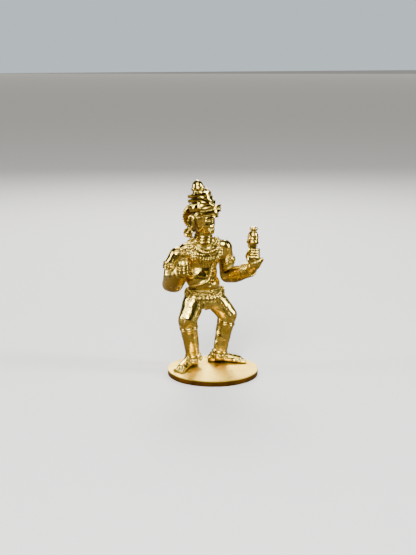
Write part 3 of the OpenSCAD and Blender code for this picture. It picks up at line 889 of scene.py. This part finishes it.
def chased_face(points):
    """Lids, irises, brows and the line of the lips, cut in with small chisels."""
    x = np.abs(points[:, 0] - face_x)
    z = points[:, 2]
    front = points[:, 1] < face_y + 2.4
    arch = eye_z + 0.36 * (1 - ((x - 1.38) / 0.88) ** 2)
    sag = eye_z - 0.27 * (1 - ((x - 1.38) / 0.88) ** 2)
    in_eye = np.clip((0.9 - np.abs(x - 1.38)) / 0.1, 0, 1)
    lids = in_eye * (line_depth(z - arch, 0.065, 0.11) + line_depth(z - sag, 0.06, 0.08))
    lids -= in_eye * line_depth(z - arch - 0.17, 0.09, 0.07)
    iris = line_depth(np.hypot(x - 1.36, z - eye_z - 0.04) - 0.2, 0.055, 0.06)
    lip_line = mouth_z + 0.02 + 0.05 * np.cos(x * 5) + 0.06 * x ** 2
    lips = line_depth(z - lip_line, 0.065, 0.16) * np.clip((1.05 - x) / 0.2, 0, 1)
    brow = line_depth(z - (eye_z + 1.02 - 0.16 * (x - 1.3) ** 2), 0.07, 0.07)
    brow *= np.clip((2.5 - x) / 0.3, 0, 1) * np.clip((x - 0.35) / 0.2, 0, 1)
    return front * (lids + iris + lips + brow)


engrave(head, chased_face)
turn_head(settle(head, "head", polished, 70))

# the neck's three folds, rolled on as rings
neck_run = unit(neck_top - neck_foot)
lumps = []
for i in range(3):
    lumps.append(torus(neck_foot + neck_run * (1.25 + 0.95 * i), neck_run, 2.6 - 0.08 * i, 0.5))
for i in range(2):
    lumps.append(torus(neck_foot + neck_run * (1.72 + 0.95 * i), neck_run, 2.78 - 0.08 * i, 0.16))
settle(join(lumps), "neck_rings", chased)

# ---------------------------------------------------------------- ears and earrings
# Long pierced lobes, each with a heavy round ear ornament: a boss in a beaded wheel.
for side, name in SIDES:
    centre = straight_middle(f"{name}_ear")
    near_x = centre[0] - side * 0.15
    outline = []
    for i in range(14):
        a = math.tau * i / 14
        upper = math.cos(a) > 0
        across = 0.95 * math.sin(a) * (1.15 if upper else 0.85)
        spot = (near_x + side * (0.35 + 0.25 * math.sin(a)), centre[1] + across - 0.2,
                centre[2] + 2 * math.cos(a))
        outline.append((spot, 0.47 if upper else 0.42))
    lumps = chain(outline + outline[:1])
    lumps.append(ball((near_x - side * 0.15, centre[1] - 0.1, centre[2] + 0.6), 1, (0.35, 0.75, 1)))
    lumps += bone(
        (near_x, centre[1] - 0.75, centre[2] + 0.35), (near_x, centre[1] - 0.8, centre[2] - 0.5),
        0.28, 0.24)
    turn_head(settle(fuse(lumps, 0.08, 5), f"{name}_ear", polished, 70))

    place = straight_middle(f"{name}_earring")
    face_out = unit(np.array([side, -0.45, 0.05]))
    rosette = [
        (0, 1.25), (0.34, 1.18), (0.55, 0.92), (0.66, 0.84), (0.9, 0.98), (1.12, 0.8), (1.2, 0.6),
        (1.5, 0.5), (1.65, 0.1), (1.5, -0.5), (1, -0.95), (0, -1.1),
    ]
    lumps = [lathe(rosette, place, face_out, 48)]
    lumps += beads_round(place + face_out * 0.5, face_out, 1.4, 0.27, 14)
    lumps += [torus(place + np.array([0, -0.1, 1.75]), face_out, 0.42, 0.2)]
    turn_head(settle(join(lumps), f"{name}_earring", chased))

# ---------------------------------------------------------------- hair and the wheel behind the head
# Rows of snail curls cover the nape; a small lotus wheel stands behind the head on a short peg.
wheel_low, wheel_high = corners("head_wheel")
wheel_c = (wheel_low + wheel_high) / 2
wheel_r = (wheel_high[0] - wheel_low[0]) / 2
nape = np.array([face_x, head_y + 0.4, skull_z - 0.5])
lumps = [ball(nape + [0, 0.9, -0.4], 1, (3.4, 3.2, 3.9))]
curls = []
for row in range(5):
    height = 1.6 - row * 1.25
    for i in range(7):
        a = math.radians(30 + 120 * (i + 0.5 * (row % 2)) / 6.5)
        ring = math.sqrt(max(1 - ((height + 0.4) / 4.6) ** 2, 0.1))
        spot = nape + [3.55 * ring * math.cos(a), 0.9 + 3.3 * ring * math.sin(a), height - 0.4]
        outward = unit(spot - nape)
        curls += [torus(spot, outward, 0.42, 0.2), bead(spot, 0.26)]
hair = fuse(lumps, 0.14, 6)
settle(join([hair] + curls), "hair_bun", chased)

back = np.array([0, 1, 0])
lumps = [
    lathe(rounded(-0.4, 0.4, wheel_r - 0.9, wheel_r - 0.1, 0.35), wheel_c, back, 64, True),
    lathe([(0, 0.85), (0.4, 0.8), (0.75, 0.5), (1.2, 0.42), (1.3, 0), (1.2, -0.3), (0, -0.35)],
          wheel_c, back, 40),
    lathe([(0, 0.12), (wheel_r - 0.6, 0.12), (wheel_r - 0.6, -0.22), (0, -0.22)], wheel_c, back, 40),
]
for i in range(12):
    a = math.tau * i / 12
    ray = np.array([math.cos(a), 0, math.sin(a)])
    lumps.append(bead(wheel_c + ray * 2.05 + back * 0.2, 0.42, (1, 1, 2.1), ray))
lumps += beads_round(wheel_c, back, wheel_r - 0.05, 0.3, 32)
lumps += bone(wheel_c, wheel_c - back * 2.4, 0.8, 0.9)
settle(join(lumps), "head_wheel", chased)

# ---------------------------------------------------------------- headband and crown
# A wide diadem in low steps carries a tall front plate with a rolled rim. The crown of piled hair
# rises behind it in turned rings, with crossing plaits on its front and an onion-shaped knob on top.
band_c = straight_middle("headband") + [0.15, 0.4, 0.35]
band_tilt = unit(np.array([-0.05, 0.25, 0.97]))
head_oval = (0.97, 1.03)
# lower and upper height of each step, its radius and how far it stands forward
tiers = [
    (-2.2, -1.3, 4.15, 0), (-1.4, -0.6, 4.35, 0.02), (-0.7, 0.25, 4.5, 0.05), (0.15, 0.6, 4.62, 0.1),
]
lumps = []
for low_z, high_z, outer, ahead in tiers:
    lumps.append(band(
        band_c + np.array([ahead, -ahead, 0]), band_tilt, 0.05, outer, low_z, high_z, 0.24, head_oval))
lumps += beads_round(band_c - band_tilt, band_tilt, 4.36, 0.2, 60, head_oval)
plate_c = band_c + [0.25, -0.25, 0]
plate_r = 4.95
tiara = join([
    band(plate_c, band_tilt, 0.05, plate_r, -0.5, 1.6, 0.14, head_oval),
    torus(plate_c + band_tilt * 1.45, band_tilt, plate_r + 0.03, 0.4, head_oval),
])
alone(tiara)
bpy.ops.object.transform_apply(location=True, rotation=True, scale=True)


def in_front_only(piece, half_angle):
    """Draws a ring in and down behind its front, so that it stands up only over the brow."""
    offset = coords_of(piece) - band_c
    turn = np.degrees(np.arctan2(offset[:, 0] - 0.1, -offset[:, 1]))
    hide = np.clip((np.abs(turn) - half_angle) / 5, 0, 1)
    along = offset @ band_tilt
    flat = offset - along[:, None] * band_tilt
    offset = flat * (1 - 0.2 * hide)[:, None] + (along * (1 - 0.75 * hide))[:, None] * band_tilt
    put_coords(piece, band_c + offset)


in_front_only(tiara, 60)
lumps.append(tiara)
turn_head(settle(join(lumps), "headband", chased))

lumps = []
bead_row = plate_c + band_tilt * 0.53
for i in range(19):
    a = math.radians(-54 + 6 * i)
    out = np.array([math.sin(a) * head_oval[0], -math.cos(a) * head_oval[1], 0])
    out -= band_tilt * (out @ band_tilt)
    lumps.append(bead(bead_row + unit(out) * plate_r, 0.3 if i % 2 else 0.26))
turn_head(settle(join(lumps), "headband_beads", polished))

crown_low, crown_high = corners("crown")
finial_low, finial_high = corners("crown_finial")
crown_top = (finial_low + finial_high) / 2
crown_foot = np.array([face_x, (crown_low[1] + crown_high[1]) / 2 - 0.15, crown_low[2] + 1])
crown_run = unit(crown_top - crown_foot)
crown_profile = [
    (0, -0.4), (4, -0.4), (4.15, 0.2), (4.15, 0.9), (4, 1.5), (3.6, 2.05), (3.05, 2.35), (3, 2.5),
    (3.85, 2.58), (4.05, 2.75), (4.08, 3.1), (4.05, 3.45), (3.85, 3.62), (2.95, 3.75), (2.85, 3.95),
    (3.65, 4.05), (3.82, 4.2), (3.85, 4.55), (3.82, 4.9), (3.6, 5.08), (2.3, 5.25), (2.05, 5.45),
    (1.95, 5.7), (1.8, 6.1), (1.7, 6.6), (0, 6.6),
]
crown = lathe(crown_profile, crown_foot, crown_run, 64)
locks = []
aside, above = frame_of(crown_run)
for i in range(44):
    a = math.tau * i / 44
    out = aside * math.cos(a) + above * math.sin(a)
    locks.append(bead(crown_foot + out * 3.7 + crown_run * 1.45, 0.3, (1, 1, 2.2), crown_run))
settle(join([crown] + locks), "crown", chased, 35)

plait_way = np.array([0.38, -0.93, 0])
front_out = unit(plait_way - crown_run * np.dot(plait_way, crown_run))
front_side = np.cross(crown_run, front_out)


def on_crown(turn, height, lift=0.0):
    """A point on the front of the crown, turn degrees round from its middle line."""
    a = math.radians(turn)
    radius = 4.25 - 0.36 * height + lift
    return crown_foot + crown_run * height + radius * (front_out * math.cos(a) + front_side * math.sin(a))


lumps = []
for row in range(3):
    foot = 0.35 + 1.6 * row
    for slant in (-1, 1):
        stops = []
        for i in range(8):
            t = i / 7
            lift = 0.25 + 1.1 * t * (1 - t)
            stops.append((on_crown(slant * 54 * t, foot + 2.1 * t ** 0.8, lift), 0.66 - 0.14 * t))
        lumps += chain(stops)
for turn in (-62, 62):
    lumps += chain([(on_crown(turn * (1 - 0.02 * i), 0.4 + 0.75 * i, 0.15), 0.5) for i in range(8)])
plait = fuse(lumps, 0.1, 3)
settle(plait, "crown_loops", chased, 70)

finial_profile = [
    (0, -0.5), (1.6, -0.5), (1.7, -0.2), (2.05, -0.02), (2.26, 0.25), (2.28, 0.55), (2.1, 0.82),
    (1.86, 0.92), (1.82, 1.08), (1.84, 1.4), (1.74, 1.75), (1.5, 2.15), (1.15, 2.5), (0.75, 2.78),
    (0.35, 2.98), (0.12, 3.12), (0, 3.15),
]
finial = lathe(finial_profile, crown_foot + crown_run * 6.2, crown_run, 56)
settle(finial, "crown_finial", polished, 50)


# ---------------------------------------------------------------- hands, flower bud and bell
# Small plump hands. The right holds a lotus bud on a short stalk before the chest; the left lifts a
# hand bell by its stem, the fingers wrapped round it.
def hand_lumps(side, name, stem, first_z, stem_r):
    j = joints[name]
    palm = j["palm"]
    lumps = bone(j["wrist"], mix(j["wrist"], palm, 0.6), 1.75, 1.8)
    lumps.append(ball(palm + [side * 0.35, 0.2, -0.3], 1, (1.8, 1.75, 2)))
    if side > 0:
        # the little finger's knuckle stands out on the side away from the body
        knuckle = stem + [stem_r + 1.35, -1.0, first_z - 0.5]
        lumps += bone(palm + [0.6, 0, -0.6], knuckle, 1.35, 0.75)
    for i in range(4):
        stops = []
        for step in range(7):
            a = math.radians(62 - 40 * step)
            reach = stem_r + 0.5 + (0.45 if step == 1 else 0.2 if step < 3 else 0)
            height = first_z + 0.82 * i + 0.12 * step - (0.3 if step == 0 else 0)
            spot = stem + [side * reach * math.cos(a), reach * math.sin(a), height]
            stops.append((spot, 0.47 - 0.02 * step))
        lumps += chain(stops)
    lumps += chain([
        (palm + [-side * 0.9, 0.4, -0.2], 0.75),
        (stem + [-side * (stem_r + 0.5), 0.9, first_z + 0.6], 0.62),
        (stem + [-side * (stem_r + 0.55), -0.1, first_z + 2.1], 0.52),
        (stem + [-side * (stem_r + 0.2), -0.75, first_z + 3.1], 0.42),
    ])
    return lumps


bud_low, bud_high = corners("right_hand_bud")
bud_foot = np.array([(bud_low[0] + bud_high[0]) / 2, (bud_low[1] + bud_high[1]) / 2, 0])
bell_low, bell_high = corners("bell_stem")
bell_foot = np.array([(bell_low[0] + bell_high[0]) / 2, (bell_low[1] + bell_high[1]) / 2, 0])
held = {"right": (bud_foot, bud_low[2] - 4, 0.95), "left": (bell_foot, bell_low[2] + 0.2, 1.2)}
for side, name in SIDES:
    stem, first_z, stem_r = held[name]
    hand = fuse(hand_lumps(side, name, stem, first_z, stem_r), 0.11, 5)
    settle(hand, f"{name}_hand", polished, 70)

# lotus bud: a stalk, a cup of outer petals, a ring of inner ones and a seed boss
stalk_run = unit((0, -0.12, 1))
bud_c = bud_foot + [0, 0, bud_low[2] + 1.9]
lumps = [
    lathe([(0, -6), (0.8, -6), (0.85, -2), (0.75, -1.2), (1.1, -0.6), (1.5, 0.1), (1.55, 0.8), (1.2, 1.5),
           (0.7, 1.95), (0, 2.1)], bud_c, stalk_run, 40),
    torus(bud_c - stalk_run * 1.15, stalk_run, 0.85, 0.3),
]
aside, above = frame_of(stalk_run)
for count, reach, height, lean, size in ((8, 1.4, 0.1, 0.85, 0.62), (8, 0.95, 1.05, 0.4, 0.5)):
    for i in range(count):
        a = math.tau * (i + 0.5 * (count == 8 and reach < 1)) / count
        out = aside * math.cos(a) + above * math.sin(a)
        lean_to = unit(stalk_run + out * lean)
        lumps.append(bead(bud_c + out * reach + stalk_run * height, size, (1, 0.8, 2), lean_to))
lumps += beads_round(bud_c + stalk_run * 1.95, stalk_run, 0.42, 0.2, 6)
lumps.append(bead(bud_c + stalk_run * 2.1, 0.3))
settle(join(lumps), "right_hand_bud", chased)

# bell held mouth down: a ringed handle below, a waisted body with two bead courses, a flat knob
bell_run = unit(np.array([0.1, 0.02, 1]))
bell_c = bell_foot + [-0.6, 0.1, bell_low[2]]
stem = lathe([
    (0, -0.6), (1.45, -0.6), (1.5, 0.2), (1.3, 0.9), (1.2, 1.6), (1.25, 2.1), (1.5, 2.3), (1.5, 2.6),
    (1.22, 2.8), (1.2, 3.5), (1.35, 3.9), (1.55, 4.1), (1.55, 4.4), (1.3, 4.6), (1.4, 5.3), (0, 5.3),
], bell_c, bell_run, 48)
settle(stem, "bell_stem", polished, 40)
body = lathe([
    (0, 4.7), (1.35, 4.7), (1.75, 4.85), (1.98, 5.1), (2.02, 5.35), (1.85, 5.6), (1.68, 5.8), (1.66, 6.2),
    (1.74, 6.35), (1.74, 6.6), (1.64, 6.75), (1.62, 7.3), (1.7, 7.45), (1.7, 7.7), (1.58, 7.85),
    (1.5, 8.15), (1.25, 8.5), (0.95, 8.75), (0.85, 8.95), (0, 8.95),
], bell_c, bell_run, 56)
lumps = [body]
lumps += beads_round(bell_c + bell_run * 6.0, bell_run, 1.66, 0.2, 18)
lumps += beads_round(bell_c + bell_run * 7.02, bell_run, 1.62, 0.24, 16)
settle(join(lumps), "bell_body", chased, 40)
knob = lathe([
    (0, 8.7), (0.8, 8.7), (0.82, 8.95), (1.1, 9.1), (1.32, 9.3), (1.38, 9.6), (1.3, 9.9), (1.05, 10.1),
    (0.7, 10.15), (0.45, 10.28), (0, 10.3),
], bell_c, bell_run, 48)
settle(knob, "bell_knob", polished, 50)


# ---------------------------------------------------------------- necklace and sacred thread
# Wax wires rolled thin and laid on the chest: a heavy twisted collar between two plain wires, leaf
# pendants below it, and a twisted thread from the left shoulder round to the right hip.
def cord(points, wire, closed=False):
    """A round wire through points in mm."""
    path = bpy.data.curves.new("wire", "CURVE")
    path.dimensions = "3D"
    path.bevel_depth = wire * MM
    path.bevel_resolution = 2
    path.use_fill_caps = True
    line = path.splines.new("POLY")
    line.points.add(len(points) - 1)
    for point, place in zip(line.points, points):
        point.co = (*(np.array(place) * MM), 1)
    line.use_cyclic_u = closed
    wire_piece = bpy.data.objects.new("wire", path)
    bpy.context.collection.objects.link(wire_piece)
    alone(wire_piece)
    bpy.ops.object.convert(target="MESH")
    start_edit()
    bpy.ops.mesh.remove_doubles(threshold=1e-6)
    bpy.ops.mesh.normals_make_consistent(inside=False)
    end_edit()
    return bpy.context.object


def twisted(points, wire, pitch, closed=False):
    """Two wires twisted round the line of the points."""
    points = np.array(points)
    ahead = np.roll(points, -1, 0) - np.roll(points, 1, 0)
    if not closed:
        ahead[0], ahead[-1] = points[1] - points[0], points[-1] - points[-2]
    length = np.concatenate([[0], np.cumsum(np.linalg.norm(np.diff(points, axis=0), axis=1))])
    turns = max(round(length[-1] / pitch), 1)
    strands = []
    for start in (0, math.pi):
        strand = []
        for place, direction, run in zip(points, ahead, length):
            aside, above = frame_of(direction)
            a = start + math.tau * turns * run / length[-1]
            strand.append(place + wire * 0.85 * (aside * math.cos(a) + above * math.sin(a)))
        strands.append(cord(strand, wire, closed))
    return strands


def collar_line(radius, drop, lift, count=120, first=0, last=360):
    """A ring round the foot of the neck, lower at the front, laid on the skin."""
    line = []
    for i in range(count):
        a = math.radians(first + (last - first) * i / (count if last - first == 360 else count - 1))
        x, y = radius * math.cos(a), radius * math.sin(a)
        guess = collar_c + [x, y * 0.92, y * 0.42 - drop]
        middle_of_neck = neck_foot - [0, 0, 3.2]
        limit = np.linalg.norm(guess - middle_of_neck) * 1.12 + 0.2
        line.append(from_inside(middle_of_neck, guess, lift, limit))
    return line


collar_c = middle("collar_necklace")
lumps = twisted(collar_line(3.9, 0.1, 0.4), 0.38, 1.5, True)
lumps.append(cord(collar_line(3.6, -0.65, 0.3), 0.28, True))
lumps.append(cord(collar_line(4.3, 0.95, 0.28), 0.34, True))
settle(join(lumps), "collar_necklace", chased)

lumps = []
pendants = collar_line(4.6, 1.7, 0.3, 11, 200, 340)
tips = collar_line(5.2, 4.2, 0.22, 11, 200, 340)
for i, (place, tip) in enumerate(zip(pendants, tips)):
    big = 1.05 - 0.3 * (abs(i - 5) / 5) ** 1.5
    run = unit(tip - place)
    lumps += [
        bead(place, 0.44 * big, (1, 1, 0.8), run),
        bead(place + run * 1.05 * big, 0.62 * big, (1, 0.85, 1.7), run),
        bead(place + run * 2.15 * big, 0.3 * big, (1, 1, 1.4), run),
    ]
settle(join(lumps), "necklace_pendants", polished)

# where the thread passes: degrees round from the middle of the front, and height
turns = [62, 48, 30, 10, -20, -52, -80]
heights = [41.2, 39.2, 35.2, 31.6, 29.5, 28.5, 27.9]
line = []
for t in np.linspace(0, len(turns) - 1, 90):
    near = np.exp(-((np.arange(len(turns)) - t) / 0.62) ** 2)
    a = math.radians(near @ turns / near.sum())
    height = near @ heights / near.sum()
    inner = (trunk_x, back_line + 0.4, height)
    line.append(from_inside(inner, (inner[0] + math.sin(a), inner[1] - math.cos(a), height), 0.3))
settle(join(twisted(line, 0.32, 1.5)), "sacred_thread", chased)

# two locks of hair fall from behind the ears on to the shoulders
for side, name in SIDES:
    low, high = corners(f"{name}_shoulder_tassel")
    lumps = []
    for strand in (-0.55, 0.05, 0.65):
        stops = []
        for i in range(9):
            t = i / 8
            guess = (trunk_x + side * (4.4 + 1.6 * t + strand * 0.8), high[1] - 0.5 - 5.2 * t ** 1.4,
                     high[2] + 0.5 - 4.2 * t ** 1.6)
            stops.append(on_skin(guess, 0.25)[0])
        for place in stops:
            lumps.append(bead(place, 0.5))
        tip = on_skin(stops[-1] + [side * 0.1, -0.5, -0.9], 0.2)[0]
        lumps.append(bead(tip, 0.5, (1, 0.9, 1.5)))
    settle(join(lumps), f"{name}_shoulder_tassel", chased)


# ---------------------------------------------------------------- belt, fringe, knots and flap
# A broad belt of two ropes with a bead course between them, teardrops hanging over the front, the
# cloth tied in loops at both hips with pleated tails, and a pleated flap falling in the middle.
belt_low, belt_high = corners("waist_belt")
belt_a = (belt_high[0] - belt_low[0]) / 2 - 0.1
belt_b = (belt_high[1] - belt_low[1]) / 2 - 0.1
up = np.array([0, 0, 1])


def belt_point(degrees, out=0.0, height=0.0):
    a = math.radians(degrees)
    return belt + [(belt_a + out) * math.cos(a), (belt_b + out) * math.sin(a), height]


def belt_line(out, height, count=140):
    return [belt_point(360 * i / count, out, height) for i in range(count)]


lumps = twisted(belt_line(-0.1, 0.62), 0.27, 1.2, True) + twisted(belt_line(-0.1, -0.62), 0.27, 1.2, True)
lumps.append(band(belt, up, belt_b - 1.4, belt_b - 0.25, -0.75, 0.75, 0.15, (belt_a / belt_b, 1)))
for i in range(52):
    lumps.append(bead(belt_point(360 * i / 52, -0.1), 0.36))
buckle = belt_point(268, 0.15)
lumps += [torus(buckle, (0, -1, 0), 0.75, 0.26), bead(buckle + [0, -0.1, 0], 0.55, (1, 1, 0.7), (0, -1, 0))]
settle(join(lumps), "waist_belt", chased)

lumps = []
for i in range(13):
    degrees = 270 + 74 * (i - 6) / 6
    knot = belt_point(degrees, 0.1, -1.1)
    tip = belt_point(degrees, 0.45, -2.5)
    lumps += [
        bead(knot, 0.38), bead(mix(knot, tip, 0.55), 0.52, (1, 0.85, 1.7), tip - knot),
        bead(tip + [0, 0, -0.3], 0.28),
    ]
swags = []
for i in range(97):
    degrees = 270 + 76 * (i - 48) / 48
    swags.append(belt_point(degrees, 0.15, -0.95 - 0.5 * abs(math.sin(math.pi * i / 16))))
lumps.append(cord(swags, 0.17))
settle(join(lumps), "belt_fringe", chased)

for side, name in SIDES:
    low, high = corners(f"{name}_hip_knot")
    knot = np.array([(low[0] + high[0]) / 2 + side * 0.4, (low[1] + high[1]) / 2 - 0.2, high[2] - 0.7])
    out = unit(np.array([side, -0.55, 0]))
    lumps = [bead(knot + out * 0.35, 0.72, (1, 1, 0.8), out)]
    for lean in (-40, 40):
        a = math.radians(lean)
        arm = np.array([0, math.sin(a), 0]) * 1.15 + [0, 0, 0.25]
        lumps.append(torus(knot + arm, out, 0.72, 0.33, (1, 1.25)))
    for i in range(4):
        top = knot + [0, -0.65 + 0.4 * i, -0.3]
        end = knot + [side * 0.1, -1.15 + 0.72 * i, -3.3 + 0.25 * (i % 2)]
        lumps += chain([(top, 0.32), (mix(top, end, 0.5) + out * 0.45, 0.4), (end, 0.44)])
    tie = fuse(lumps, 0.1, 3)
    settle(tie, f"{name}_hip_knot", polished, 70)

flap_low, flap_high = corners("front_flap")
flap_x = (flap_low[0] + flap_high[0]) / 2
lumps = []
pleats = 7
flap_mid_z = 22.6
for i in range(pleats):
    offset = (i - (pleats - 1) / 2) / ((pleats - 1) / 2)
    x_top = flap_x + 1.85 * offset
    x_end = flap_x + 2.6 * offset
    y_front = (flap_low[1] + flap_high[1]) / 2 - 0.15 + 0.5 * offset ** 2
    fall = flap_low[2] + 0.25 + 0.5 * abs(offset) + (0.28 if i % 2 else 0)
    lumps += chain([
        ((x_top, y_front + 0.25, flap_high[2] - 0.3), 0.33),
        (((x_top + x_end) / 2, y_front - 0.05, flap_mid_z), 0.37), ((x_end, y_front, fall), 0.42),
    ])
lumps.append(ball((flap_x, flap_high[1] - 0.35, flap_mid_z), 1, (2.3, 0.55, 1.95)))
flap = fuse(lumps, 0.1, 2)
settle(flap, "front_flap", polished, 70)
